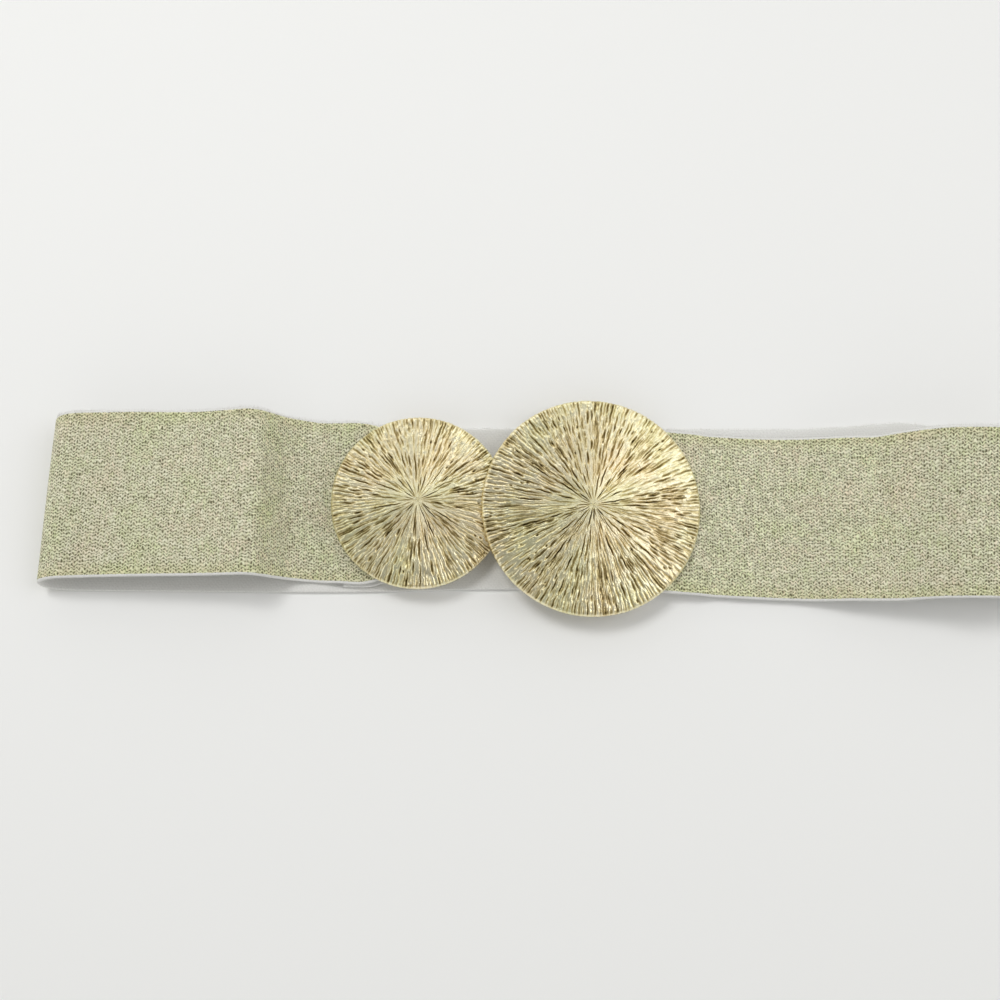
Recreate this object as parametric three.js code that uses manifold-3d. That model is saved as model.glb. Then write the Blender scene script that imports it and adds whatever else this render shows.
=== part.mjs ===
// An elastic stretch belt, fastened and lying flat. One woven band, folded over at both sides, has its two
// ends turned round wire bars under a buckle of two overlapping discs, which a hidden hook joins.
// Millimetres: +X runs along the belt, +Y to its far edge as it lies, +Z up.
import * as THREE from "three";
import { mergeVertices } from "three/addons/utils/BufferGeometryUtils.js";
import Module from "manifold-3d";

// Band
const bandWidth = 60;
const bandThickness = 1.5;
const flatLength = 362; // from fold to fold, as the belt lies
const buckleShare = 0.46; // of the flat length, from the left fold to the middle of the buckle
const turnedEnd = 20; // each end is turned back this far under the band, behind its bar
const gatherReach = 11; // from a short bar out to where the band is back at its full width
const leftLoft = 18.2; // the highest crease left of the buckle stands this far over the lying band
const rightLoft = 28.5; // the same at the right fold
const layGap = 0.3; // between two layers that lie on each other

// Discs
const smallDiameter = 63;
const largeDiameter = 79;
const discOverlap = 8.7; // of the large disc over the small one
const discStep = 2; // the large disc lies this much nearer than the small one
const smallRise = 3.2; // of the cone, from shoulder to centre
const largeRise = 4;
const wall = 1.5;
const rimEdge = 1.1; // thickness of the rim's plain edge
const rimLand = 1.2; // width of the rim's flat underside
const shoulderWidth = 1.8; // the rounding from the cone to the rim
const shoulderDrop = 0.7;
const ridgeHeight = 0.45; // of the raised rays
const smallRidges = 54;
const largeRidges = 66;

// Wire bars and hook
const strapWire = 2.4; // diameter of the bars that the band is turned round
const smallBarInset = 7; // of each strap bar from its disc's centre, away from the other disc
const largeBarInset = 18;
const strapSideGap = 0.4; // between the band's edge and a bar's leg
const claspWire = 2;
const claspSpan = 22; // of the clasp bars, between their legs
const smallClaspInset = 21.5; // of each clasp bar from its disc's centre, towards the other disc
const largeClaspInset = 22;
const hookWidth = 16;
const hookThickness = 1.2;
const hookLip = 3;
const wireGap = 0.3; // round a bar, inside the band or the hook
const seatGap = 0.3; // between pieces that rest on each other

// The band's runs on each side of the buckle: how far along from the strap bar to the fold, the height of
// the near and the far edge over the lying band, as shares of the loft, and the shift towards the far side
// and the slant of the line across, as shares of the band's width.
const leftRun = [
  { along: 0.23, near: 0, far: 0, shift: 0.042, slant: 0 },
  { along: 0.298, near: 0.09, far: 0.16, shift: 0.052, slant: 0 },
  { along: 0.334, near: 0.28, far: 0.37, shift: 0.054, slant: 0 },
  { along: 0.365, near: 0.55, far: 0.67, shift: 0.056, slant: 0 },
  { along: 0.392, near: 0.8, far: 0.91, shift: 0.056, slant: 0 },
  { along: 0.42, near: 0.91, far: 1, shift: 0.056, slant: 0 },
  { along: 0.45, near: 0.88, far: 0.95, shift: 0.056, slant: 0 },
  { along: 0.5, near: 0.8, far: 0.83, shift: 0.056, slant: 0 },
  { along: 0.6, near: 0.7, far: 0.705, shift: 0.056, slant: 0.01 },
  { along: 0.773, near: 0.6, far: 0.715, shift: 0.055, slant: 0.03 },
  { along: 0.91, near: 0.52, far: 0.76, shift: 0.05, slant: 0.045 },
];
const rightRun = [
  { along: 0.18, near: 0, far: 0, shift: -0.045, slant: 0 },
  { along: 0.309, near: 0, far: 0.01, shift: -0.062, slant: 0 },
  { along: 0.372, near: 0.01, far: 0.04, shift: -0.068, slant: 0 },
  { along: 0.43, near: 0.05, far: 0.12, shift: -0.073, slant: 0 },
  { along: 0.515, near: 0.21, far: 0.235, shift: -0.078, slant: 0 },
  { along: 0.583, near: 0.27, far: 0.31, shift: -0.082, slant: 0 },
  { along: 0.624, near: 0.34, far: 0.545, shift: -0.085, slant: 0 },
  { along: 0.666, near: 0.42, far: 0.75, shift: -0.085, slant: 0 },
  { along: 0.706, near: 0.525, far: 0.87, shift: -0.085, slant: 0 },
  { along: 0.751, near: 0.58, far: 0.935, shift: -0.086, slant: 0 },
  { along: 0.85, near: 0.565, far: 1, shift: -0.09, slant: 0 },
];

// The band comes down from its bar over the turned end: how far out, as a share of that end, and how much
// of the drop is left there.
const bandDescent = [
  { share: 0.3, left: 0.75 },
  { share: 0.65, left: 0.25 },
  { share: 1.04, left: 0 },
];

const leftFold = { shift: -0.003, slant: 0.055 };
const rightFold = { shift: -0.02, slant: 0 };

// The run that lies underneath: along from the left fold to the right one, as shares of the flat length.
const backRun = [
  { along: 0.055, shift: -0.004 },
  { along: 0.292, shift: -0.013 },
  { along: 0.457, shift: 0.004 },
  { along: 0.701, shift: -0.004 },
  { along: 0.762, shift: -0.001 },
  { along: 0.803, shift: 0.01 },
  { along: 0.844, shift: 0.03 },
  { along: 0.869, shift: 0.038 },
  { along: 0.905, shift: 0.012 },
  { along: 0.93, shift: -0.004 },
];

// The rays' rings, as shares of the radius inside the shoulder.
const rayRings = [0.07, 0.2, 0.37, 0.54, 0.71, 0.87];

const bandStep = 4.5; // between the band's sections where it runs straight
const bandColumns = 4; // facets across the band
const wrapSteps = 8; // facets round a bar
const foldSteps = 8; // sections round a fold

const wasm = await Module();
wasm.setup();

const smallRadius = smallDiameter / 2;
const largeRadius = largeDiameter / 2;
const lyingLevel = bandThickness / 2; // the middle of the run on the floor
const upperLevel = lyingLevel + bandThickness + layGap; // the middle of a layer lying on it
const strapRadius = strapWire / 2;
const wrapRadius = strapRadius + wireGap + bandThickness / 2;
const strapHeight = upperLevel + wrapRadius;
const wrapTop = strapHeight + wrapRadius + bandThickness / 2;
const claspRadius = claspWire / 2;
const curlRadius = claspRadius + wireGap + hookThickness / 2;
const claspHeight = bandThickness + layGap + hookThickness / 2 + curlRadius;

// A closed mesh as a solid, and a solid as a geometry.
function solid(geometry) {
  const bare = geometry.clone();
  bare.deleteAttribute("normal");
  bare.deleteAttribute("uv");
  const merged = mergeVertices(bare, 1e-4);
  return new wasm.Manifold(
    new wasm.Mesh({
      numProp: 3,
      vertProperties: merged.attributes.position.array,
      triVerts: new Uint32Array(merged.index.array),
    }),
  );
}

function geometryOf(body) {
  const mesh = body.getMesh();
  const geometry = new THREE.BufferGeometry();
  geometry.setAttribute("position", new THREE.BufferAttribute(mesh.vertProperties, 3));
  geometry.setIndex(new THREE.BufferAttribute(mesh.triVerts, 1));
  geometry.computeVertexNormals();
  return geometry;
}

// A closed surface from rings of points of one length, with a cap or a single point at each end.
function ringed(rings, startTip, endTip) {
  const positions = [...rings.flat(), startTip, endTip].flatMap((p) => [p.x, p.y, p.z]);
  const count = rings[0].length;
  const startIndex = rings.length * count;
  const faces = [];
  for (let k = 0; k < count; k++) {
    const next = (k + 1) % count;
    const last = (rings.length - 1) * count;
    faces.push(startIndex, k, next, startIndex + 1, last + next, last + k);
    for (let i = 0; i + 1 < rings.length; i++) {
      const here = i * count;
      const there = here + count;
      faces.push(here + k, there + next, here + next, here + k, there + k, there + next);
    }
  }
  const geometry = new THREE.BufferGeometry();
  geometry.setAttribute("position", new THREE.Float32BufferAttribute(positions, 3));
  geometry.setIndex(faces);
  return geometry;
}

// A fixed scatter between 0 and 1, so that the rays break unevenly.
function scatter(a, b) {
  const wave = Math.sin(a * 127.1 + b * 311.7) * 43758.5453;
  return wave - Math.floor(wave);
}

// A disc is a shallow cone over its rim plane, with a rounded shoulder and a thin plain rim.
function disc({ radius, rise, ridges }) {
  const coneRadius = radius - shoulderWidth;
  const shoulder = rimEdge + shoulderDrop;
  const apex = shoulder + rise;
  const ceiling = (r) => (apex - wall) * (1 - r / (radius - rimLand));
  return { radius, ridges, coneRadius, shoulder, apex, ceiling, rise };
}

const topOf = ({ shoulder, rise, coneRadius }, r) => shoulder + rise * (1 - r / coneRadius);

function shell(form) {
  const { radius, ridges, coneRadius, shoulder, apex } = form;
  const ring = (r, heightAt) =>
    Array.from({ length: 2 * ridges }, (_, k) => {
      const angle = (Math.PI * k) / ridges;
      return new THREE.Vector3(r * Math.cos(angle), r * Math.sin(angle), heightAt(k));
    });
  const ray = (level) => (k) =>
    k % 2 ? 0 : ridgeHeight * (scatter(k, level) < 0.2 ? 0.15 : 0.6 + 0.4 * scatter(level, k));
  const raised = rayRings.map((share, level) => {
    const r = share * coneRadius;
    return ring(r, (k) => topOf(form, r) + ray(level)(k));
  });
  return ringed(
    [
      ...raised,
      ring(coneRadius, () => shoulder),
      ring(radius - shoulderWidth / 3, () => rimEdge + shoulderDrop / 2),
      ring(radius, () => rimEdge),
      ring(radius, () => 0),
      ring(radius - rimLand, () => 0),
    ],
    new THREE.Vector3(0, 0, apex + ridgeHeight),
    new THREE.Vector3(0, 0, apex - wall),
  );
}

// A round wire from one point to another.
function wire(from, to, radius) {
  const line = new THREE.Vector3().subVectors(to, from);
  const geometry = new THREE.CylinderGeometry(radius, radius, line.length(), 12);
  const turn = new THREE.Quaternion().setFromUnitVectors(new THREE.Vector3(0, 1, 0), line.normalize());
  const middle = new THREE.Vector3().addVectors(from, to).multiplyScalar(0.5);
  return solid(geometry.applyQuaternion(turn).translate(middle.x, middle.y, middle.z));
}

// A bar with two legs, soldered under a disc: x, z and the middle y in the disc's own frame.
function bail(form, { x, y, z, span, radius }) {
  const reach = span / 2 + radius;
  let body = wire(
    new THREE.Vector3(x, y - reach - radius, z),
    new THREE.Vector3(x, y + reach + radius, z),
    radius,
  );
  for (const side of [-1, 1]) {
    const foot = y + side * reach;
    const top = form.ceiling(Math.hypot(x, foot)) + wall / 2;
    body = body.add(wire(new THREE.Vector3(x, foot, z), new THREE.Vector3(x, foot, top), radius));
  }
  return body;
}

// The buckle: the small disc lies level over its strap bar. The large one rests on it, and over its own bar.
const small = disc({ radius: smallRadius, rise: smallRise, ridges: smallRidges });
const large = disc({ radius: largeRadius, rise: largeRise, ridges: largeRidges });
const centreDistance = smallRadius + largeRadius - discOverlap;
const smallRim = wrapTop + seatGap;
const restRadius = smallRadius - discOverlap;
const leftRim = smallRim + topOf(small, restRadius) + ridgeHeight + seatGap;
const tilt = Math.asin((leftRim - smallRim) / (largeRadius + largeBarInset));

const smallSeat = new THREE.Group();
smallSeat.position.set(-centreDistance / 2, discStep / 2, smallRim);
const largeSeat = new THREE.Group();
largeSeat.position.set(centreDistance / 2, -discStep / 2, leftRim - largeRadius * Math.sin(tilt));
largeSeat.rotation.y = tilt;
smallSeat.updateMatrixWorld(true);
largeSeat.updateMatrixWorld(true);

// The band gathers on a bar that its disc leaves no room to make as long as the band is wide.
function strapSpan(radius, inset) {
  const chord = Math.sqrt((radius - rimLand - strapRadius) ** 2 - inset ** 2) - strapRadius;
  return Math.min(bandWidth + 2 * strapSideGap, 2 * chord);
}

const smallStrap = {
  x: smallSeat.position.x - smallBarInset,
  y: smallSeat.position.y,
  span: strapSpan(smallRadius, smallBarInset),
};
const largeStrap = {
  x: largeSeat.position.x + largeBarInset,
  y: largeSeat.position.y,
  span: strapSpan(largeRadius, largeBarInset),
};
const claspAt = [smallSeat.position.x + smallClaspInset, largeSeat.position.x - largeClaspInset];

function half(seat, form, strap, claspX) {
  const place = (x, y, z) => seat.worldToLocal(new THREE.Vector3(x, y, z));
  const strapPlace = place(strap.x, strap.y, strapHeight);
  const claspPlace = place(claspX, 0, claspHeight);
  const strapBail = bail(form, { ...strapPlace, span: strap.span, radius: strapRadius });
  const claspBail = bail(form, { ...claspPlace, span: claspSpan, radius: claspRadius });
  return geometryOf(solid(shell(form)).add(strapBail).add(claspBail));
}

// The hook is a flat link that curls up round both clasp bars.
function hook() {
  const reach = (claspAt[1] - claspAt[0]) / 2;
  const outer = curlRadius + hookThickness / 2;
  const inner = curlRadius - hookThickness / 2;
  const quarter = Math.PI / 2;
  const outline = new THREE.Shape();
  outline.moveTo(-reach, -outer);
  outline.lineTo(reach, -outer);
  outline.absarc(reach, 0, outer, -quarter, quarter, false);
  outline.lineTo(reach - hookLip, outer);
  outline.lineTo(reach - hookLip, inner);
  outline.lineTo(reach, inner);
  outline.absarc(reach, 0, inner, quarter, -quarter, true);
  outline.lineTo(-reach, -inner);
  outline.absarc(-reach, 0, inner, -quarter, quarter, true);
  outline.lineTo(hookLip - reach, inner);
  outline.lineTo(hookLip - reach, outer);
  outline.lineTo(-reach, outer);
  outline.absarc(-reach, 0, outer, quarter, 3 * quarter, false);
  const geometry = new THREE.ExtrudeGeometry(outline, {
    depth: hookWidth,
    bevelEnabled: false,
    curveSegments: 8,
  });
  geometry.translate(0, 0, -hookWidth / 2).rotateX(quarter);
  return geometry.translate((claspAt[0] + claspAt[1]) / 2, 0, claspHeight);
}

// One side of the band, from its turned end out to the fold: each section has its middle (x, y), the
// heights of its near and far edge, the slant of the line between them, its width and the level that it
// can't sink below.
function sideRun({ strap, side, tip, loft, run, fold }) {
  const length = Math.abs(tip - strap.x);
  const width = strap.span - 2 * strapSideGap;
  const section = (out, near, far, y, slant, across, rest = upperLevel) => ({
    x: strap.x + side * out,
    y,
    near,
    far,
    slant: slant * bandWidth,
    width: across,
    rest,
  });
  const flat = (out, z, across) => section(out, z, z, strap.y, 0, across);
  const gathered = (out) =>
    THREE.MathUtils.lerp(width, bandWidth, THREE.MathUtils.smoothstep(out, strapRadius, gatherReach));
  const firstOut = run[0].along * length;
  const lead = (out) => THREE.MathUtils.lerp(strap.y, run[0].shift * bandWidth, out / firstOut);
  const sections = [
    flat(turnedEnd, upperLevel, gathered(turnedEnd)),
    flat(turnedEnd / 2, upperLevel, gathered(turnedEnd / 2)),
  ];
  for (let k = 0; k <= wrapSteps; k++) {
    const angle = (Math.PI * k) / wrapSteps;
    sections.push(flat(-wrapRadius * Math.sin(angle), strapHeight - wrapRadius * Math.cos(angle), width));
  }
  const doubled = upperLevel + bandThickness + layGap;
  const drop = strapHeight + wrapRadius - doubled;
  for (const { share, left } of bandDescent) {
    const out = share * turnedEnd;
    const level = doubled + left * drop;
    sections.push(section(out, level, level, lead(out), 0, gathered(out)));
  }
  for (const { along, near, far, shift, slant } of run) {
    const out = along * length;
    const [low, high] = [upperLevel + near * loft, upperLevel + far * loft];
    sections.push(section(out, low, high, shift * bandWidth, slant, gathered(out)));
  }
  const last = run.at(-1);
  const start = last.along * length;
  for (let k = 1; k <= foldSteps; k++) {
    const angle = (Math.PI * k) / foldSteps;
    const round = (share) => {
      const top = upperLevel + share * loft;
      return (top + lyingLevel) / 2 + ((top - lyingLevel) / 2) * Math.cos(angle);
    };
    const turned = (1 - Math.cos(angle)) / 2;
    sections.push(
      section(
        start + (length - start) * Math.sin(angle),
        round(last.near),
        round(last.far),
        bandWidth * THREE.MathUtils.lerp(last.shift, fold.shift, turned),
        THREE.MathUtils.lerp(last.slant, fold.slant, Math.sin(angle)),
        bandWidth,
        lyingLevel,
      ),
    );
  }
  return sections;
}

function bandSections() {
  const leftTip = -buckleShare * flatLength;
  const leftLean = (leftFold.slant * bandWidth) / 2;
  const rightTip = leftTip + flatLength;
  const left = sideRun({
    strap: smallStrap,
    side: -1,
    tip: leftTip + leftLean,
    loft: leftLoft,
    run: leftRun,
    fold: leftFold,
  });
  const right = sideRun({
    strap: largeStrap,
    side: 1,
    tip: rightTip,
    loft: rightLoft,
    run: rightRun,
    fold: rightFold,
  });
  const back = backRun.map(({ along, shift }) => ({
    x: leftTip + along * flatLength,
    y: shift * bandWidth,
    near: lyingLevel,
    far: lyingLevel,
    slant: 0,
    width: bandWidth,
    rest: lyingLevel,
  }));
  return [...left, ...back, ...right.reverse()];
}

// The two edges of a section, as far apart as it is wide.
function edges({ x, y, near, far, slant, width }) {
  const across = Math.sqrt(width ** 2 - slant ** 2 - (far - near) ** 2) / 2;
  return {
    near: new THREE.Vector3(x - slant / 2, y - across, near),
    far: new THREE.Vector3(x + slant / 2, y + across, far),
  };
}

function band() {
  const sections = bandSections();
  const lines = sections.map(edges);
  const nearCurve = new THREE.CatmullRomCurve3(lines.map((line) => line.near));
  const farCurve = new THREE.CatmullRomCurve3(lines.map((line) => line.far));
  const places = [];
  for (let i = 0; i + 1 < lines.length; i++) {
    const gap = Math.max(
      lines[i].near.distanceTo(lines[i + 1].near),
      lines[i].far.distanceTo(lines[i + 1].far),
    );
    const steps = Math.ceil(gap / bandStep);
    const rest = Math.min(sections[i].rest, sections[i + 1].rest);
    for (let k = 0; k < steps; k++) places.push({ place: i + k / steps, rest });
  }
  places.push({ place: lines.length - 1, rest: sections.at(-1).rest });
  const rows = places.map(({ place, rest }) => {
    const share = place / (lines.length - 1);
    const near = nearCurve.getPoint(share);
    const far = farCurve.getPoint(share);
    near.z = Math.max(near.z, rest);
    far.z = Math.max(far.z, rest);
    return Array.from({ length: bandColumns + 1 }, (_, j) =>
      new THREE.Vector3().lerpVectors(near, far, j / bandColumns),
    );
  });
  const rings = rows.map((row, i) => {
    const before = rows[Math.max(i - 1, 0)];
    const after = rows[Math.min(i + 1, rows.length - 1)];
    const across = new THREE.Vector3().subVectors(row[bandColumns], row[0]);
    const offset = (j, by) => {
      const along = new THREE.Vector3().subVectors(after[j], before[j]);
      const inward = along.cross(across).normalize();
      return row[j].clone().addScaledVector(inward, by * bandThickness);
    };
    const inside = row.map((_, j) => offset(j, 0.5));
    const outside = row.map((_, j) => offset(j, -0.5)).reverse();
    return [...inside, ...outside];
  });
  const middle = (ring) =>
    ring.reduce((sum, p) => sum.add(p), new THREE.Vector3()).divideScalar(ring.length);
  return ringed(rings, middle(rings[0]), middle(rings.at(-1)));
}

function named(name, geometry, material) {
  const mesh = new THREE.Mesh(geometry, material);
  mesh.name = name;
  return mesh;
}

const woven = new THREE.MeshStandardMaterial({ color: 0xbdbca0, roughness: 0.6, metalness: 0.3 });
const gilt = new THREE.MeshStandardMaterial({ color: 0xc8b684, roughness: 0.32, metalness: 1 });
const steel = new THREE.MeshStandardMaterial({ color: 0xb7ab8c, roughness: 0.4, metalness: 1 });

smallSeat.add(named("small_disc", half(smallSeat, small, smallStrap, claspAt[0]), gilt));
largeSeat.add(named("large_disc", half(largeSeat, large, largeStrap, claspAt[1]), gilt));

const belt = new THREE.Group();
belt.add(named("elastic_band", band(), woven), smallSeat, largeSeat, named("clasp_hook", hook(), steel));

// The origin is the middle of the belt's footprint, on the surface that it lies on.
const box = new THREE.Box3().setFromObject(belt, true);
belt.position.set(-(box.min.x + box.max.x) / 2, -(box.min.y + box.max.y) / 2, -box.min.z);
const part = new THREE.Group();
part.add(belt);
part.updateMatrixWorld(true);

export default part;
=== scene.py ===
"""Dresses the elastic stretch belt: a woven band, glittering outside, white inside, and two relief discs.
Sizes are in millimetres, as on the real thing, and become metres where a mesh is made."""
import math

import bpy
import numpy as np
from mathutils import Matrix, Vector


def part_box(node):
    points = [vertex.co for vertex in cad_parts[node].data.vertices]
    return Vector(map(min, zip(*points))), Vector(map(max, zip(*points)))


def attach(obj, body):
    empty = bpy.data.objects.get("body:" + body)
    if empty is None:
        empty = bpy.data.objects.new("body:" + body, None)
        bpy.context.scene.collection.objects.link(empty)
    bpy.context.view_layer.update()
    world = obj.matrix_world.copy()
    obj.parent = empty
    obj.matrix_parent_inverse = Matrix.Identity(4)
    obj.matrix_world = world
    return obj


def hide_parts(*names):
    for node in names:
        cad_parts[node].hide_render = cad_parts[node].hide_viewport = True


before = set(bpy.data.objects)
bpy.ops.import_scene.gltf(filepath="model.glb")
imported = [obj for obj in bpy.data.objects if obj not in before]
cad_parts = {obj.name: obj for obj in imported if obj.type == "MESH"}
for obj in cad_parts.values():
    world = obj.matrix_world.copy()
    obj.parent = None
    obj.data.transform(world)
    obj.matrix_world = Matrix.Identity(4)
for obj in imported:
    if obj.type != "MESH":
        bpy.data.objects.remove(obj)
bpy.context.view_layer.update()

MM = 0.001

# Band
BAND_WIDTH = 60
BAND_THICKNESS = 1.5
FLAT_LENGTH = 362
BUCKLE_SHARE = 0.46
TURNED_END = 20
GATHER_REACH = 11
LEFT_LOFT = 18.2
RIGHT_LOFT = 28.5
LAY_GAP = 0.3
NEAR_SELVEDGE = 0.85  # the white edge that shows beside the glittering face
FAR_SELVEDGE = 0.75
STITCH_LENGTH = 0.95  # along the band, from pore to pore
STITCH_ROW = 1.25
PORE_REACH = (0.5, 0.36)  # of each pore, as shares of the stitch
PORE_DEPTH = (0.3, 0.7)  # the least, and how much more a pore may have
RIB_SPACING = 0.85  # of the white inside
TWILL_SPACING = 1.3
EDGE_INSET = 0.5  # from here out the band's edge is rounded
WAVE_SPACING = 9  # of the faint waves in the raised band's edges
WAVE_HEIGHT = 0.22
UV_UNITS = (1000, 100)  # millimetres to one unit along and across

# Discs
SMALL_RADIUS = 31.5
LARGE_RADIUS = 39.5
DISC_OVERLAP = 8.7
DISC_STEP = 2
SMALL_RISE = 3.2
LARGE_RISE = 4
WALL = 1.5
RIM_EDGE = 1.1
RIM_LAND = 1.2
SHOULDER_WIDTH = 1.8
SHOULDER_DROP = 0.7
RIDGE_HEIGHT = 0.45
RAY_SPREAD = 1.6  # how far apart two rays get before a new one starts between them
GROOVE_DEPTH = 0.62
PIT_DENSITY = 0.03  # pits, for each square millimetre of the radius squared
NICK_DENSITY = 0.9  # short fine cuts, likewise
SWELL_HEIGHT = 0.06
STAR_HEIGHT = 0.16
STAR_REACH = 2.6

# Wire bars and hook
STRAP_RADIUS = 1.2
SMALL_BAR_INSET = 7
LARGE_BAR_INSET = 18
STRAP_SIDE_GAP = 0.4
CLASP_RADIUS = 1
CLASP_SPAN = 22
SMALL_CLASP_INSET = 21.5
LARGE_CLASP_INSET = 22
HOOK_THICKNESS = 1.2
WIRE_GAP = 0.3
SEAT_GAP = 0.3
WIRE_SIDES = 14

# Short white threads along each edge: which edge, how far apart and how long
FRINGE = [(0, 0.8, 0.45), (1, 0.36, 1.1)]
THREAD_RADIUS = 0.1
THREAD_SAG = 0.18

# Each side of the band from its bar to its fold, as in the part: along, near, far, shift, slant.
LEFT_RUN = [
    (0.23, 0, 0, 0.042, 0),
    (0.298, 0.09, 0.16, 0.052, 0),
    (0.334, 0.28, 0.37, 0.054, 0),
    (0.365, 0.55, 0.67, 0.056, 0),
    (0.392, 0.8, 0.91, 0.056, 0),
    (0.42, 0.91, 1, 0.056, 0),
    (0.45, 0.88, 0.95, 0.056, 0),
    (0.5, 0.8, 0.83, 0.056, 0),
    (0.6, 0.7, 0.705, 0.056, 0.01),
    (0.773, 0.6, 0.715, 0.055, 0.03),
    (0.91, 0.52, 0.76, 0.05, 0.045),
]
RIGHT_RUN = [
    (0.18, 0, 0, -0.045, 0),
    (0.309, 0, 0.01, -0.062, 0),
    (0.372, 0.01, 0.04, -0.068, 0),
    (0.43, 0.05, 0.12, -0.073, 0),
    (0.515, 0.21, 0.235, -0.078, 0),
    (0.583, 0.27, 0.31, -0.082, 0),
    (0.624, 0.34, 0.545, -0.085, 0),
    (0.666, 0.42, 0.75, -0.085, 0),
    (0.706, 0.525, 0.87, -0.085, 0),
    (0.751, 0.58, 0.935, -0.086, 0),
    (0.85, 0.565, 1, -0.09, 0),
]
BAND_DESCENT = [(0.3, 0.75), (0.65, 0.25), (1.04, 0)]  # over the turned end: share of it, drop left there
LEFT_FOLD = (-0.003, 0.055)  # shift and slant at the fold
RIGHT_FOLD = (-0.02, 0)
BACK_RUN = [
    (0.055, -0.004),
    (0.292, -0.013),
    (0.457, 0.004),
    (0.701, -0.004),
    (0.762, -0.001),
    (0.803, 0.01),
    (0.844, 0.03),
    (0.869, 0.038),
    (0.905, 0.012),
    (0.93, -0.004),
]

# Fineness of the meshes
BAND_STEP = 1.1
BAND_COLUMNS = 44
EDGE_STEPS = 5
WRAP_STEPS = 8
FOLD_STEPS = 8
SMALL_COLUMNS = 940
SMALL_ROWS = 62
LARGE_COLUMNS = 1180
LARGE_ROWS = 72

# View: the photograph's centre lies this far from the large disc's centre, on the surface below
ELEVATION = 79
CAMERA_DISTANCE = 450
VIEW_WIDTH = 368  # of the surface across the photograph
AIM_FROM_LARGE_DISC = (-32.8, 4.5)
FLOOR_REACH = 3.0  # metres, as the lights are
FLOOR_DROP = 0.0002

# Lights: place and target's x from the aim, size, power
LIGHTS = {
    "key": ((-0.42, 0.5, 1.15), 0, (0.4, 0.4), 6.0),
    "far_panel": ((-0.1, 0.75, 0.7), 0, (1.3, 0.5), 2.2),
    "right_box": ((0.65, 0.1, 0.8), 0.1, (0.5, 0.7), 1.9),
    "left_box": ((-0.75, 0.1, 0.65), -0.1, (0.4, 0.6), 0.6),
}

LYING_LEVEL = BAND_THICKNESS / 2
UPPER_LEVEL = LYING_LEVEL + BAND_THICKNESS + LAY_GAP
WRAP_RADIUS = STRAP_RADIUS + WIRE_GAP + BAND_THICKNESS / 2
STRAP_HEIGHT = UPPER_LEVEL + WRAP_RADIUS
WRAP_TOP = STRAP_HEIGHT + WRAP_RADIUS + BAND_THICKNESS / 2
CURL_RADIUS = CLASP_RADIUS + WIRE_GAP + HOOK_THICKNESS / 2
CLASP_HEIGHT = BAND_THICKNESS + LAY_GAP + HOOK_THICKNESS / 2 + CURL_RADIUS

rng = np.random.default_rng(20)


class Disc:
    """A shallow cone over its rim plane, with a rounded shoulder and a thin plain rim."""

    def __init__(self, name, radius, rise):
        self.name = name
        self.radius = radius
        self.rise = rise
        self.cone_radius = radius - SHOULDER_WIDTH
        self.shoulder = RIM_EDGE + SHOULDER_DROP
        self.apex = self.shoulder + rise
        self.tilt = 0
        low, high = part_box(name)
        self.x = (low[0] + high[0]) / 2 / MM
        self.y = (low[1] + high[1]) / 2 / MM
        self.z = 0

    def top(self, r):
        return self.shoulder + self.rise * (1 - r / self.cone_radius)

    def ceiling(self, r):
        return (self.apex - WALL) * (1 - r / (self.radius - RIM_LAND))

    def to_own(self, x, y, z):
        c, s = math.cos(self.tilt), math.sin(self.tilt)
        dx, dz = x - self.x, z - self.z
        return c * dx - s * dz, y - self.y, s * dx + c * dz


def seat_discs():
    small = Disc("small_disc", SMALL_RADIUS, SMALL_RISE)
    large = Disc("large_disc", LARGE_RADIUS, LARGE_RISE)
    small.z = WRAP_TOP + SEAT_GAP
    left_rim = small.z + small.top(SMALL_RADIUS - DISC_OVERLAP) + RIDGE_HEIGHT + SEAT_GAP
    large.tilt = math.asin((left_rim - small.z) / (LARGE_RADIUS + LARGE_BAR_INSET))
    large.z = left_rim - LARGE_RADIUS * math.sin(large.tilt)
    large.x = small.x + SMALL_RADIUS + LARGE_RADIUS - DISC_OVERLAP
    return small, large


def strap_span(radius, inset):
    chord = math.sqrt((radius - RIM_LAND - STRAP_RADIUS) ** 2 - inset**2) - STRAP_RADIUS
    return min(BAND_WIDTH + 2 * STRAP_SIDE_GAP, 2 * chord)


def smoothstep(x, low, high):
    t = np.clip((x - low) / (high - low), 0, 1)
    return t * t * (3 - 2 * t)


def lerp(a, b, t):
    return a + (b - a) * t


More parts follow.
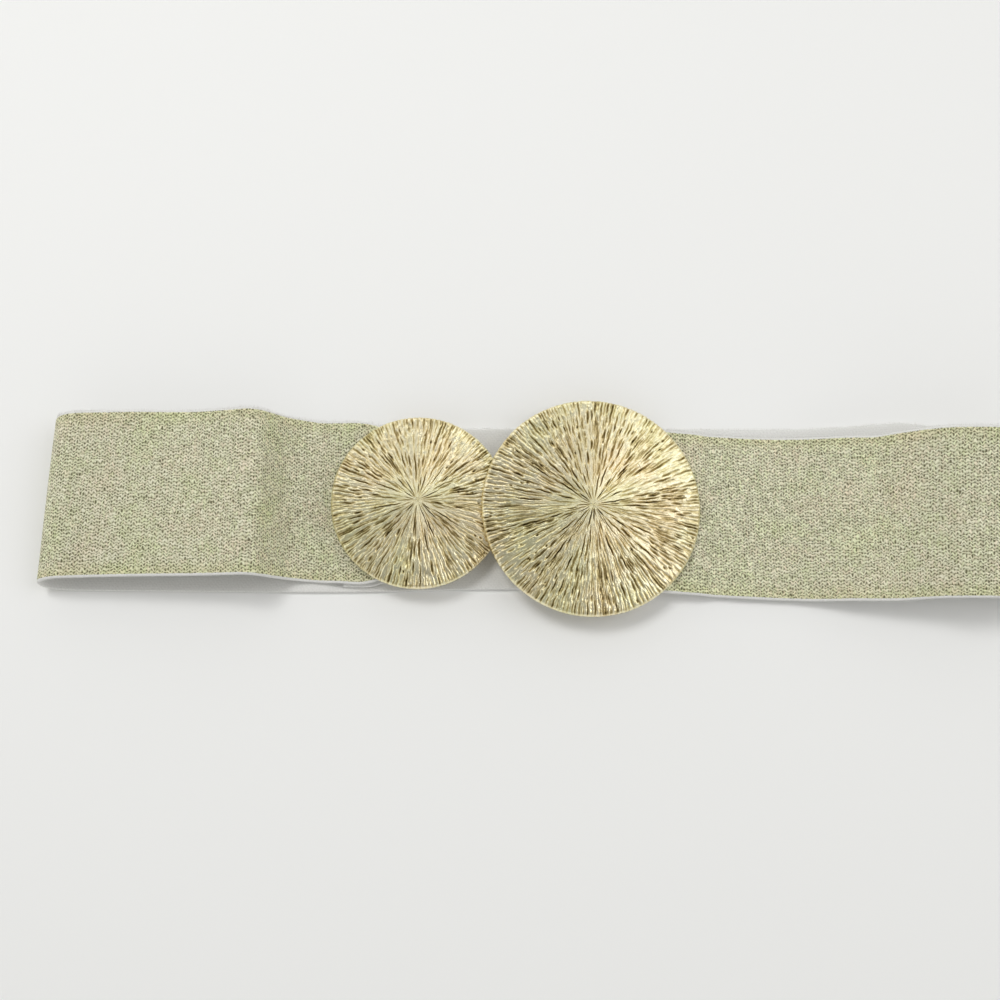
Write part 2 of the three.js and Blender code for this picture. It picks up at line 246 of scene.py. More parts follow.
def side_run(strap_x, strap_y, span, middle_y, side, tip, loft, run, fold):
    """One side of the band as rows of x, y, near, far, slant, width and rest, as in the part."""
    length = abs(tip - strap_x)
    width = span - 2 * STRAP_SIDE_GAP

    def gathered(out):
        return lerp(width, BAND_WIDTH, smoothstep(out, STRAP_RADIUS, GATHER_REACH))

    def lead(out):
        return lerp(strap_y, middle_y + run[0][3] * BAND_WIDTH, out / (run[0][0] * length))

    def section(out, near, far, y, slant, across, rest=UPPER_LEVEL):
        return (strap_x + side * out, y, near, far, slant * BAND_WIDTH, across, rest)

    def flat(out, z, across):
        return section(out, z, z, strap_y, 0, across)

    rows = [flat(out, UPPER_LEVEL, gathered(out)) for out in (TURNED_END, TURNED_END / 2)]
    for k in range(WRAP_STEPS + 1):
        angle = math.pi * k / WRAP_STEPS
        height = STRAP_HEIGHT - WRAP_RADIUS * math.cos(angle)
        rows.append(flat(-WRAP_RADIUS * math.sin(angle), height, width))
    doubled = UPPER_LEVEL + BAND_THICKNESS + LAY_GAP
    drop = STRAP_HEIGHT + WRAP_RADIUS - doubled
    for share, left in BAND_DESCENT:
        out = share * TURNED_END
        level = doubled + left * drop
        rows.append(section(out, level, level, lead(out), 0, gathered(out)))
    for along, near, far, shift, slant in run:
        out = along * length
        y = middle_y + shift * BAND_WIDTH
        low, high = UPPER_LEVEL + near * loft, UPPER_LEVEL + far * loft
        rows.append(section(out, low, high, y, slant, gathered(out)))
    along, near, far, shift, slant = run[-1]
    start = along * length
    for k in range(1, FOLD_STEPS + 1):
        angle = math.pi * k / FOLD_STEPS
        turned = (1 - math.cos(angle)) / 2
        heights = []
        for share in (near, far):
            top = UPPER_LEVEL + share * loft
            heights.append((top + LYING_LEVEL) / 2 + (top - LYING_LEVEL) / 2 * math.cos(angle))
        rows.append(
            section(
                start + (length - start) * math.sin(angle),
                *heights,
                middle_y + BAND_WIDTH * lerp(shift, fold[0], turned),
                lerp(slant, fold[1], math.sin(angle)),
                BAND_WIDTH,
                LYING_LEVEL,
            )
        )
    return rows


def band_sections(small, large):
    middle_x = (small.x + large.x) / 2
    middle_y = small.y - DISC_STEP / 2
    left_tip = middle_x - BUCKLE_SHARE * FLAT_LENGTH
    left = side_run(
        small.x - SMALL_BAR_INSET, small.y, strap_span(SMALL_RADIUS, SMALL_BAR_INSET), middle_y,
        -1, left_tip + LEFT_FOLD[1] * BAND_WIDTH / 2, LEFT_LOFT, LEFT_RUN, LEFT_FOLD,
    )
    right = side_run(
        large.x + LARGE_BAR_INSET, small.y - DISC_STEP, strap_span(LARGE_RADIUS, LARGE_BAR_INSET), middle_y,
        1, left_tip + FLAT_LENGTH, RIGHT_LOFT, RIGHT_RUN, RIGHT_FOLD,
    )
    back = []
    for along, shift in BACK_RUN:
        x, y = left_tip + along * FLAT_LENGTH, middle_y + shift * BAND_WIDTH
        back.append((x, y, LYING_LEVEL, LYING_LEVEL, 0, BAND_WIDTH, LYING_LEVEL))
    return np.array(left + back + right[::-1], float)


def smooth_line(points, places):
    """Points on the centripetal curve through the given ones, at fractional places along the list."""
    padded = np.vstack([2 * points[0] - points[1], points, 2 * points[-1] - points[-2]])
    i = np.minimum(places.astype(int), len(points) - 2)
    t = (places - i)[:, None]
    p0, p1, p2, p3 = (padded[i + k] for k in range(4))

    def gap(a, b):
        return np.sqrt(np.linalg.norm(b - a, axis=1))[:, None]

    d0, d1, d2 = gap(p0, p1), gap(p1, p2), gap(p2, p3)
    m1 = ((p1 - p0) / d0 - (p2 - p0) / (d0 + d1) + (p2 - p1) / d1) * d1
    m2 = ((p2 - p1) / d1 - (p3 - p1) / (d1 + d2) + (p3 - p2) / d2) * d1
    return p1 + m1 * t + (3 * (p2 - p1) - 2 * m1 - m2) * t**2 + (2 * (p1 - p2) + m1 + m2) * t**3


class Band:
    """The band's middle surface: rows of near and far edge points, and the length along it."""

    def __init__(self, small, large):
        rows = band_sections(small, large)
        x, y, near, far, slant, width, rest = rows.T
        across = np.sqrt(width**2 - slant**2 - (far - near) ** 2) / 2
        near_points = np.stack([x - slant / 2, y - across, near], axis=1)
        far_points = np.stack([x + slant / 2, y + across, far], axis=1)
        places = []
        rests = []
        for i in range(len(rows) - 1):
            gap = max(
                np.linalg.norm(near_points[i + 1] - near_points[i]),
                np.linalg.norm(far_points[i + 1] - far_points[i]),
            )
            steps = max(math.ceil(gap / BAND_STEP), 1)
            places += [i + k / steps for k in range(steps)]
            rests += [min(rest[i], rest[i + 1])] * steps
        places = np.array(places + [len(rows) - 1])
        rests = np.array(rests + [rest[-1]])
        self.near = smooth_line(near_points, places)
        self.far = smooth_line(far_points, places)
        self.near[:, 2] = np.maximum(self.near[:, 2], rests)
        self.far[:, 2] = np.maximum(self.far[:, 2], rests)
        middle = (self.near + self.far) / 2
        self.length = np.concatenate([[0], np.cumsum(np.linalg.norm(np.diff(middle, axis=0), axis=1))])

    def surface(self, shares):
        """Middle points and inward normals, for shares across from the near edge to the far one."""
        shares = np.asarray(shares)[None, :, None]
        points = self.near[:, None] * (1 - shares) + self.far[:, None] * shares
        along = np.gradient(points, axis=0)
        across = (self.far - self.near)[:, None] + 0 * points
        normals = np.cross(along, across)
        normals /= np.linalg.norm(normals, axis=2, keepdims=True)
        return points, normals


def mesh_object(name, vertices, faces, uvs=None, indices=None):
    """A smooth mesh from millimetres, with a uv pair for each corner and a material for each face."""
    mesh = bpy.data.meshes.new(name)
    mesh.from_pydata((np.asarray(vertices) * MM).tolist(), [], faces)
    if uvs is not None:
        layer = mesh.uv_layers.new(name="cloth")
        layer.data.foreach_set("uv", np.asarray(uvs, np.float32).ravel())
    if indices is not None:
        mesh.polygons.foreach_set("material_index", np.asarray(indices, np.int32))
    mesh.polygons.foreach_set("use_smooth", [True] * len(mesh.polygons))
    mesh.update()
    made = bpy.data.objects.new(name, mesh)
    bpy.context.scene.collection.objects.link(made)
    return made


def grid_faces(rows, columns, wrap):
    """Quads between rows of points, round the columns if they wrap."""
    i = np.arange(rows - 1)[:, None]
    j = np.arange(columns if wrap else columns - 1)[None, :]
    next_j = (j + 1) % columns
    return np.stack(
        [i * columns + j, i * columns + next_j, (i + 1) * columns + next_j, (i + 1) * columns + j], axis=-1
    ).reshape(-1, 4)


def add_attribute(made, name, values):
    layer = made.data.attributes.new(name, "FLOAT", "POINT")
    layer.data.foreach_set("value", np.asarray(values, np.float32).ravel())


def smooth_noise(length, spacing, amount):
    """A soft random line over a length, with one knot to each spacing."""
    knots = rng.normal(0, amount, int(length / spacing) + 3)
    return lambda s: np.interp(s / spacing, np.arange(len(knots)), knots)


# Materials

def new_material(name):
    material = bpy.data.materials.new(name)
    material.use_nodes = True
    tree = material.node_tree
    return material, tree, tree.nodes["Principled BSDF"]


class Graph:
    """Short hands for a material's nodes."""

    def __init__(self, tree):
        self.tree = tree

    def node(self, kind, inputs=None, **settings):
        made = self.tree.nodes.new(kind)
        for key, value in settings.items():
            setattr(made, key, value)
        for key, value in (inputs or {}).items():
            self.feed(made.inputs[key], value)
        return made

    def feed(self, socket, value):
        if isinstance(value, bpy.types.NodeSocket):
            self.tree.links.new(value, socket)
        else:
            socket.default_value = value

    def math(self, operation, *values):
        made = self.node("ShaderNodeMath", operation=operation)
        for socket, value in zip(made.inputs, values):
            self.feed(socket, value)
        return made.outputs[0]

    def add(self, a, b):
        return self.math("ADD", a, b)

    def subtract(self, a, b):
        return self.math("SUBTRACT", a, b)

    def multiply(self, a, b):
        return self.math("MULTIPLY", a, b)

    def combine(self, x, y, z=0.0):
        return self.node("ShaderNodeCombineXYZ", {"X": x, "Y": y, "Z": z}).outputs[0]

    def noise(self, vector, scale, detail=2.0):
        return self.node(
            "ShaderNodeTexNoise", {"Vector": vector, "Scale": scale, "Detail": detail}
        ).outputs["Fac"]

    def random(self, vector):
        made = self.node("ShaderNodeTexWhiteNoise", {"Vector": vector}, noise_dimensions="3D")
        return made.outputs["Value"]

    def ramp(self, value, stops):
        made = self.node("ShaderNodeValToRGB", {"Fac": value})
        elements = made.color_ramp.elements
        while len(elements) < len(stops):
            elements.new(0.5)
        for element, (position, colour) in zip(elements, stops):
            element.position = position
            element.color = (*colour, 1)
        return made.outputs["Color"]

    def mix(self, factor, a, b, blend="MIX"):
        made = self.node("ShaderNodeMix", data_type="RGBA", blend_type=blend)
        self.feed(made.inputs[0], factor)
        self.feed(made.inputs[6], a)
        self.feed(made.inputs[7], b)
        return made.outputs[2]

    def bump(self, height, strength, distance):
        return self.node(
            "ShaderNodeBump", {"Height": height, "Strength": strength, "Distance": distance}
        ).outputs["Normal"]


def cloth_place(graph):
    """Millimetres along the band and across it from its middle."""
    uv = graph.node("ShaderNodeUVMap", uv_map="cloth").outputs["UV"]
    parts = graph.node("ShaderNodeSeparateXYZ", {"Vector": uv})
    along = graph.multiply(parts.outputs["X"], UV_UNITS[0])
    across = graph.multiply(parts.outputs["Y"], UV_UNITS[1])
    return along, across


def lurex():
    """The glittering face: zigzag threads round staggered pores, and a white selvedge on both sides."""
    material, tree, shader = new_material("woven_elastic_face")
    g = Graph(tree)
    along, across = cloth_place(g)
    place = g.combine(along, across)
    wander = g.subtract(g.noise(place, 0.3, 3.0), 0.5)
    wobble = g.subtract(g.noise(g.combine(across, along, 7.0), 0.55, 3.0), 0.5)
    u = g.add(g.math("DIVIDE", along, STITCH_LENGTH), wander)
    column = g.math("FLOOR", u)
    stagger = g.noise(g.combine(g.multiply(column, 0.3), g.multiply(across, 0.12)), 1.0, 1.0)
    drift = g.add(g.multiply(wobble, 2.1), g.multiply(stagger, 1.3))
    v = g.subtract(drift, g.math("DIVIDE", across, STITCH_ROW))
    wave = g.math("COSINE", g.multiply(g.subtract(u, 0.5), math.pi))
    lifted = g.add(v, g.multiply(wave, 0.25))
    thread = g.math("FLOOR", lifted)
    away = g.math("ABSOLUTE", g.subtract(g.math("FRACT", lifted), 0.5))
    body = g.subtract(1.0, g.multiply(away, 2.0))
    pore_u = g.multiply(g.subtract(g.math("FRACT", u), 0.5), 1.0 / PORE_REACH[0])
    between = g.subtract(g.math("FRACT", g.add(lifted, 0.5)), 0.5)
    pore_v = g.multiply(between, 1.0 / PORE_REACH[1])
    from_pore = g.math("SQRT", g.add(g.multiply(pore_u, pore_u), g.multiply(pore_v, pore_v)))
    pore = g.math("MAXIMUM", g.subtract(1.0, from_pore), 0.0)
    half_stitch = g.math("FLOOR", g.add(u, 0.5))
    pick = g.random(g.combine(half_stitch, thread, 0.0))
    hue = g.random(g.combine(half_stitch, thread, 5.0))
    slub = g.noise(g.combine(g.multiply(along, 2.8), g.multiply(across, 4.2)), 1.0, 2.0)
    height = g.add(g.multiply(body, 0.32), g.multiply(slub, 0.85))
    depth = g.multiply(g.random(g.combine(column, thread, 9.0)), PORE_DEPTH[1])
    open_pore = g.add(PORE_DEPTH[0], depth)
    height = g.subtract(height, g.multiply(pore, open_pore))
    lively = g.multiply(g.subtract(pick, 0.5), 0.3)
    # Painted shade: the colour follows the weave's height, darker between the threads and darkest in the
    # pores; the slubs and each stitch's pick vary it at random.
    shade_and_tone = g.add(height, lively)
    colour = g.ramp(shade_and_tone, [
        (0.05, (0.13, 0.125, 0.065)),
        (0.3, (0.46, 0.455, 0.31)),
        (0.6, (0.67, 0.66, 0.49)),
        (0.85, (0.95, 0.94, 0.76)),
    ])
    tint = g.ramp(hue, [
        (0.0, (0.95, 1.0, 0.82)),
        (0.35, (1.0, 1.0, 0.97)),
        (0.7, (1.0, 0.985, 0.95)),
        (1.0, (1.05, 0.95, 0.92)),
    ])
    colour = g.mix(0.6, colour, tint, "MULTIPLY")
    patch = g.ramp(g.noise(place, 0.06, 3.0), [
        (0.3, (0.97, 1.0, 0.87)),
        (0.5, (1.0, 0.99, 0.97)),
        (0.7, (1.03, 0.965, 0.95)),
    ])
    colour = g.mix(0.9, colour, patch, "MULTIPLY")
    to_edge = g.math("DIVIDE", g.math("ABSOLUTE", across), BAND_WIDTH / 2)
    shaded = g.ramp(to_edge, [(0.8, (1.0, 1.0, 1.0)), (0.97, (0.94, 0.95, 0.83))])
    colour = g.mix(1.0, colour, shaded, "MULTIPLY")
    fray = g.multiply(g.subtract(slub, 0.5), 0.9)
    bare_far = g.math("GREATER_THAN", g.add(across, fray), BAND_WIDTH / 2 - FAR_SELVEDGE)
    bare_near = g.math("LESS_THAN", g.add(across, fray), NEAR_SELVEDGE - BAND_WIDTH / 2)
    bare = g.math("MAXIMUM", bare_far, bare_near)
    white = g.ramp(slub, [(0.3, (0.66, 0.655, 0.62)), (0.7, (0.86, 0.855, 0.83))])
    colour = g.mix(bare, colour, white)
    g.feed(shader.inputs["Base Color"], colour)
    glint = g.multiply(g.math("GREATER_THAN", pick, 0.5), g.subtract(1.0, bare))
    g.feed(shader.inputs["Metallic"], g.multiply(glint, 0.5))
    g.feed(shader.inputs["Roughness"], g.subtract(0.6, g.multiply(glint, 0.22)))
    g.feed(shader.inputs["Normal"], g.bump(height, 0.5, 0.0004))
    return material


def inner_weave():
    """The white inside: fine close ribs along the band, crossed by a faint slanting twill."""
    material, tree, shader = new_material("woven_elastic_inside")
    g = Graph(tree)
    along, across = cloth_place(g)
    place = g.combine(along, across)
    wander = g.multiply(g.subtract(g.noise(place, 0.4, 2.0), 0.5), 0.8)
    rib = g.math("SINE", g.multiply(g.add(across, wander), 2 * math.pi / RIB_SPACING))
    slope = g.add(along, g.multiply(across, 0.8))
    twill = g.math("SINE", g.multiply(g.add(slope, wander), 2 * math.pi / TWILL_SPACING))
    height = g.add(g.multiply(g.add(rib, twill), 0.05), g.noise(place, 1.6, 3.0))
    colour = g.ramp(height, [
        (0.15, (0.66, 0.655, 0.625)),
        (0.5, (0.74, 0.735, 0.705)),
        (0.85, (0.8, 0.795, 0.77)),
    ])
    g.feed(shader.inputs["Base Color"], colour)
    shader.inputs["Roughness"].default_value = 0.85
    shader.inputs["Sheen Weight"].default_value = 0.15
    g.feed(shader.inputs["Normal"], g.bump(height, 0.15, 0.00015))
    return material


def gilt():
    """Pale gilt metal: cream ridges, grooves darkened with painted shade, and bark-like streaks that run
    out from the centre.
    """
    material, tree, shader = new_material("gilt_relief")
    g = Graph(tree)
    place = g.node("ShaderNodeTexCoord").outputs["Object"]
    parts = g.node("ShaderNodeSeparateXYZ", {"Vector": place})
    flat = g.combine(parts.outputs["X"], parts.outputs["Y"])
    heading = g.node("ShaderNodeVectorMath", {0: flat}, operation="NORMALIZE").outputs["Vector"]
    out = g.node("ShaderNodeVectorMath", {0: flat}, operation="LENGTH").outputs["Value"]
    turned = g.node("ShaderNodeVectorMath", {0: heading}, operation="SCALE")
    turned.inputs["Scale"].default_value = 34.0
    bend = g.multiply(g.subtract(g.noise(place, 260.0, 2.0), 0.5), 3.0)
    lift = g.combine(bend, bend, g.multiply(out, 650.0))
    polar = g.node("ShaderNodeVectorMath", {0: turned.outputs["Vector"], 1: lift}, operation="ADD")
    bark = g.noise(polar.outputs["Vector"], 1.0, 4.0)
    fine = g.noise(place, 1500.0, 3.0)
    # Painted shade in the grooves: the deeper a groove, the darker and browner the metal's colour, near
    # black at the bottom.
    groove_shade = g.node("ShaderNodeAttribute", attribute_name="groove_shade").outputs["Fac"]
    rough = g.add(g.multiply(bark, 0.75), g.multiply(fine, 0.25))
    depth = g.add(groove_shade, g.multiply(g.subtract(rough, 0.5), 1.25))
    colour = g.ramp(depth, [
        (0.0, (0.96, 0.9, 0.64)),
        (0.25, (0.8, 0.7, 0.41)),
        (0.5, (0.5, 0.41, 0.2)),
        (0.78, (0.25, 0.19, 0.075)),
        (1.0, (0.04, 0.028, 0.01)),
    ])
    drift = g.ramp(g.noise(place, 55.0, 3.0), [
        (0.32, (0.96, 1.0, 0.88)),
        (0.5, (1.0, 0.985, 0.96)),
        (0.68, (1.04, 0.95, 0.9)),
    ])
    colour = g.mix(0.8, colour, drift, "MULTIPLY")
    g.feed(shader.inputs["Base Color"], colour)
    shader.inputs["Metallic"].default_value = 1.0
    g.feed(shader.inputs["Roughness"], g.add(0.2, g.multiply(rough, 0.2)))
    g.feed(shader.inputs["Normal"], g.bump(rough, 0.8, 0.00035))
    return material


def plain_wire():
    material, tree, shader = new_material("gilt_wire")
    g = Graph(tree)
    place = g.node("ShaderNodeTexCoord").outputs["Object"]
    rub = g.noise(place, 240.0, 4.0)
    colour = g.ramp(rub, [(0.3, (0.42, 0.34, 0.19)), (0.7, (0.72, 0.62, 0.4))])
    g.feed(shader.inputs["Base Color"], colour)
    shader.inputs["Metallic"].default_value = 1.0
    g.feed(shader.inputs["Roughness"], g.add(0.25, g.multiply(rub, 0.3)))
    g.feed(shader.inputs["Normal"], g.bump(rub, 0.2, 0.0001))
    return material


def white_thread():
    material, tree, shader = new_material("white_thread")
    g = Graph(tree)
    place = g.node("ShaderNodeTexCoord").outputs["Object"]
    twist = g.noise(place, 2500.0, 2.0)
    g.feed(shader.inputs["Base Color"], g.ramp(twist, [(0.3, (0.74, 0.73, 0.7)), (0.7, (0.9, 0.89, 0.87))]))
    shader.inputs["Roughness"].default_value = 0.8
    return material


# Pieces

def make_band(band, face, inside):
    """The whole strip: a rounded edge on each side, the face outside and the white weave inside."""
    bend = np.linspace(-math.pi / 2, math.pi / 2, EDGE_STEPS + 2)[1:-1]
    flat = np.linspace(0, 1, BAND_COLUMNS + 1)
    edge_inset = EDGE_INSET / BAND_WIDTH
    flat = edge_inset + flat * (1 - 2 * edge_inset)
    round_far = 1 - edge_inset + edge_inset * np.cos(bend)
    shares = np.concatenate([flat, round_far, flat[::-1], 1 - round_far])
    half = np.concatenate([np.ones(len(flat)), -np.sin(bend), -np.ones(len(flat)), np.sin(bend)])
    points, normals = band.surface(shares)
    lift = np.clip((points[..., 2] - UPPER_LEVEL - 1.2) / 4, 0, 1)
    near_wave = smooth_noise(band.length[-1], WAVE_SPACING, WAVE_HEIGHT)(band.length)
    far_wave = smooth_noise(band.length[-1], WAVE_SPACING, WAVE_HEIGHT)(band.length)
    wave = near_wave[:, None] * (1 - shares) ** 3 + far_wave[:, None] * shares**3
    points = points + normals * (lift * wave)[..., None]
    points = points + normals * (half * BAND_THICKNESS / 2)[None, :, None]
    rows, columns = points.shape[:2]
    faces = grid_faces(rows, columns, True)[:, ::-1]
    vertices = points.reshape(-1, 3)
    along = np.repeat(band.length[:, None], columns, axis=1).ravel()
    across = np.repeat((shares - 0.5)[None] * BAND_WIDTH, rows, axis=0).ravel()
    uv = np.stack([along / UV_UNITS[0], across / UV_UNITS[1]], axis=1)
    outside = (faces % columns).min(axis=1) >= len(flat) + EDGE_STEPS
    outside &= (faces % columns).max(axis=1) < 2 * len(flat) + EDGE_STEPS
    indices = np.where(outside, 0, 1)
    caps = [list(range(columns)), list(range((rows - 1) * columns, rows * columns))[::-1]]
    corners = [*faces.tolist(), *caps]
    corner_uvs = np.concatenate([uv[faces].reshape(-1, 2), uv[np.concatenate(caps)]])
    made = mesh_object("band", vertices, corners, corner_uvs, np.concatenate([indices, [1, 1]]))
    made.data.materials.append(face)
    made.data.materials.append(inside)
    return made


def ray_lines(cone_radius):
    """Rays from the centre, and new ones between them as they spread: an angle and a start each."""
    count = 24
    angles = (np.arange(count) + rng.uniform(-0.25, 0.25, count)) * 2 * math.pi / count
    starts = rng.uniform(1.0, 2.2, count)
    while True:
        count = len(angles)
        opens = RAY_SPREAD * count / (2 * math.pi)
        if opens > 0.97 * cone_radius:
            return angles, starts
        order = np.argsort(angles)
        angles, starts = angles[order], starts[order]
        gaps = np.diff(np.append(angles, angles[0] + 2 * math.pi))
        between = angles + gaps * rng.uniform(0.4, 0.6, count)
        angles = np.concatenate([angles, between])
        starts = np.concatenate([starts, opens * rng.uniform(0.75, 1.25, count)])


def relief(disc, r, theta):
    """How far the face is cut below its ridges: long broken rays, round pits and short fine nicks."""
    cut = np.zeros((len(r), len(theta)))

    def groove(angle, start, end, width, depth):
        rows = np.where((r >= start) & (r <= end))[0]
        if not len(rows):
            return
        rr = r[rows]
        taper = np.sin(math.pi * np.clip((rr - start) / (end - start), 0, 1)) ** 0.45
        half = width * (0.35 + 0.65 * taper) / 2
        bend = 0.13 * np.sin(rr * 0.5 + angle * 7) + 0.07 * np.sin(rr * 1.7 + angle * 23)
        bent = angle + bend * np.minimum(1, rr / 8) / np.maximum(rr, 3)
        gap = (theta[None, :] - bent[:, None] + math.pi) % (2 * math.pi) - math.pi
        away = np.abs(gap) * rr[:, None] / half[:, None]
        shape = np.clip(1 - away**2, 0, 1) ** 1.4 * (depth * taper)[:, None]
        cut[rows] = np.maximum(cut[rows], shape)

    angles, starts = ray_lines(disc.cone_radius)
    for angle, start in zip(angles, starts):
        place = start
        while place < disc.radius:
            long = rng.uniform(3.5, 13) if place < 0.6 * disc.radius else rng.uniform(2.5, 8)
            width = rng.uniform(0.7, 1.25) * (0.4 + 0.6 * min(1, place / 12))
            drift = rng.normal(0, 0.16) / max(place + long / 2, 4)
            end = place + long
            if end > disc.radius - 3:
                end = disc.radius + 4
            groove(angle + drift, place, end, width, rng.uniform(0.3, 1) * GROOVE_DEPTH)
            place = end + rng.uniform(-1.0, 1.4)
    for _ in range(int(PIT_DENSITY * disc.radius**2)):
        start = disc.radius * math.sqrt(rng.uniform(0.2, 0.9))
        angle, long, width = rng.uniform(0, 2 * math.pi), rng.uniform(0.9, 1.8), rng.uniform(0.8, 1.1)
        groove(angle, start, start + long, width, GROOVE_DEPTH)
    for _ in range(int(NICK_DENSITY * disc.radius**2)):
        start = disc.radius * math.sqrt(rng.uniform(0.004, 1))
        angle, long = rng.uniform(0, 2 * math.pi), rng.uniform(1.2, 6)
        groove(angle, start, start + long, rng.uniform(0.28, 0.5), rng.uniform(0.1, 0.4) * GROOVE_DEPTH)
    return cut


def make_disc(disc, columns, rows, metal):
    """A relief face on a shell of the disc's form, closed underneath, in the disc's own frame."""
    theta = np.arange(columns) * 2 * math.pi / columns
    r = np.concatenate([
        np.linspace(0.25, disc.cone_radius, rows),
        disc.cone_radius + SHOULDER_WIDTH * np.array([0.25, 0.5, 0.7, 0.85, 0.96, 1.0]),
    ])
    turn = np.clip((r - disc.cone_radius) / SHOULDER_WIDTH, 0, 1)
    base = np.where(turn > 0, RIM_EDGE + SHOULDER_DROP * np.sqrt(np.clip(1 - turn**2, 0, 1)), disc.top(r))
    cut = relief(disc, r, theta)
    fade = (1 - turn**4)[:, None]
    swell = SWELL_HEIGHT * np.sin(theta * 9 + 1.3)[None, :] * np.sin(r / 5)[:, None]
    star = STAR_HEIGHT * np.clip(1 - r / STAR_REACH, 0, 1)[:, None] * np.cos(4 * (theta + 0.6))[None, :]
    ridge = RIDGE_HEIGHT * np.clip(r / 2.5, 0, 1)[:, None]
    height = base[:, None] + (ridge + swell + star - cut) * fade
    inset = 0.35 * (cut / GROOVE_DEPTH) * (turn**2)[:, None]
    across = r[:, None] - inset
    face = np.stack([across * np.cos(theta), across * np.sin(theta), height], axis=-1)
    lower = []
    for radius, z in (
        (disc.radius, 0.3),
        (disc.radius - 0.25, 0),
        (disc.radius - RIM_LAND, 0),
        (0.5 * disc.radius, disc.ceiling(0.5 * disc.radius)),
        (0.5, disc.ceiling(0.5)),
    ):
        level = np.full(columns, z)
        lower.append(np.stack([radius * np.cos(theta), radius * np.sin(theta), level], axis=-1))
    points = np.concatenate([face, np.array(lower)])
    faces = grid_faces(len(points), columns, True)[:, ::-1].tolist()
    top_tip, low_tip = len(points) * columns, len(points) * columns + 1
    last = (len(points) - 1) * columns
    for k in range(columns):
        after = (k + 1) % columns
        faces.append([top_tip, k, after])
        faces.append([low_tip, last + after, last + k])
    tips = np.array([[0, 0, height[0].mean()], [0, 0, disc.apex - WALL]])
    made = mesh_object(f"{disc.name}_face", np.concatenate([points.reshape(-1, 3), tips]), faces)
    seat(made, disc)
    # Painted shade: each groove's share of its depth, and a little on the underside, darkens the metal's
    # colour.
    shade_by_depth = np.zeros((len(points), columns))
    shade_by_depth[: len(r)] = cut / GROOVE_DEPTH * fade
    shade_by_depth[len(r):] = 0.15
    add_attribute(made, "groove_shade", np.concatenate([shade_by_depth.ravel(), [0.1, 0.1]]))
    made.data.materials.append(metal)
    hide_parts(disc.name)
    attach(made, "root")
    return made


def seat(made, disc):
    """Puts a mesh in the disc's own frame where the disc lies."""
    made.location = Vector((disc.x, disc.y, disc.z)) * MM
    made.rotation_euler = (0, disc.tilt, 0)


def tube(points, radius):
    """A round wire along points that lie in one plane across the belt, with flat ends."""
    sides = WIRE_SIDES
    points = np.asarray(points, float)
    along = np.gradient(points, axis=0)
    along /= np.linalg.norm(along, axis=1, keepdims=True)
    side = np.array([1.0, 0, 0])
    other = np.cross(along, side)
    angles = np.arange(sides) * 2 * math.pi / sides
    rings = points[:, None] + radius * (
        np.cos(angles)[None, :, None] * side + np.sin(angles)[None, :, None] * other[:, None]
    )
    faces = grid_faces(len(points), sides, True).tolist()
    faces.append(list(range(sides))[::-1])
    faces.append(list(range((len(points) - 1) * sides, len(points) * sides)))
    return rings.reshape(-1, 3), faces


def bail_path(disc, x, y, z, span, radius):
    """A wire's line under a disc: up into the shell at both ends, with rounded corners."""
    reach = span / 2 + radius
    bend = 1.6 * radius
    points = []
    for side in (-1, 1):
        foot = y + side * reach
        top = disc.ceiling(math.hypot(x, foot)) + WALL / 2
        leg = [(x, foot, h) for h in np.linspace(top, z + bend, 4)]
        corner = [
            (x, foot - side * bend * (1 - math.cos(a)), z + bend * (1 - math.sin(a)))
            for a in np.linspace(0, math.pi / 2, 6)[1:]
        ]
        points.append(leg + corner)
    return np.array(points[0] + points[1][::-1])


def make_bars(disc, strap_x, strap_y, span, clasp_x, clasp_y, metal):
    """Each disc's strap bar and clasp bar, with a drop of solder at each foot."""
    vertices, faces = [], []

    def add(points, corners):
        base = sum(len(part) for part in vertices)
        vertices.append(points)
        faces.extend([[base + k for k in corner] for corner in corners])

    for place, width, radius in (
        ((strap_x, strap_y, STRAP_HEIGHT), span, STRAP_RADIUS),
        ((clasp_x, clasp_y, CLASP_HEIGHT), CLASP_SPAN, CLASP_RADIUS),
    ):
        path = bail_path(disc, *disc.to_own(*place), width, radius)
        add(*tube(path, radius))
        for foot in (path[0], path[-1]):
            add(*solder(foot, radius))
    made = mesh_object(f"{disc.name}_bars", np.concatenate(vertices), faces)
    seat(made, disc)
    made.data.materials.append(metal)
    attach(made, "root")
    return made


def solder(foot, radius):
    """A low drop where a wire meets the shell."""
    x, y, z = foot
    low = -WALL / 2
    profile = [(0.98, low - 0.9), (1.25, low - 0.35), (1.7, low), (1.5, 0.0)]
    angles = np.arange(WIRE_SIDES) * 2 * math.pi / WIRE_SIDES
    rings = np.array([
        [(x + radius * wide * math.cos(a), y + radius * wide * math.sin(a), z + h) for a in angles]
        for wide, h in profile
    ])
    faces = grid_faces(len(profile), WIRE_SIDES, True).tolist()
    faces.append(list(range(WIRE_SIDES))[::-1])
    faces.append(list(range((len(profile) - 1) * WIRE_SIDES, len(profile) * WIRE_SIDES)))
    return rings.reshape(-1, 3), faces


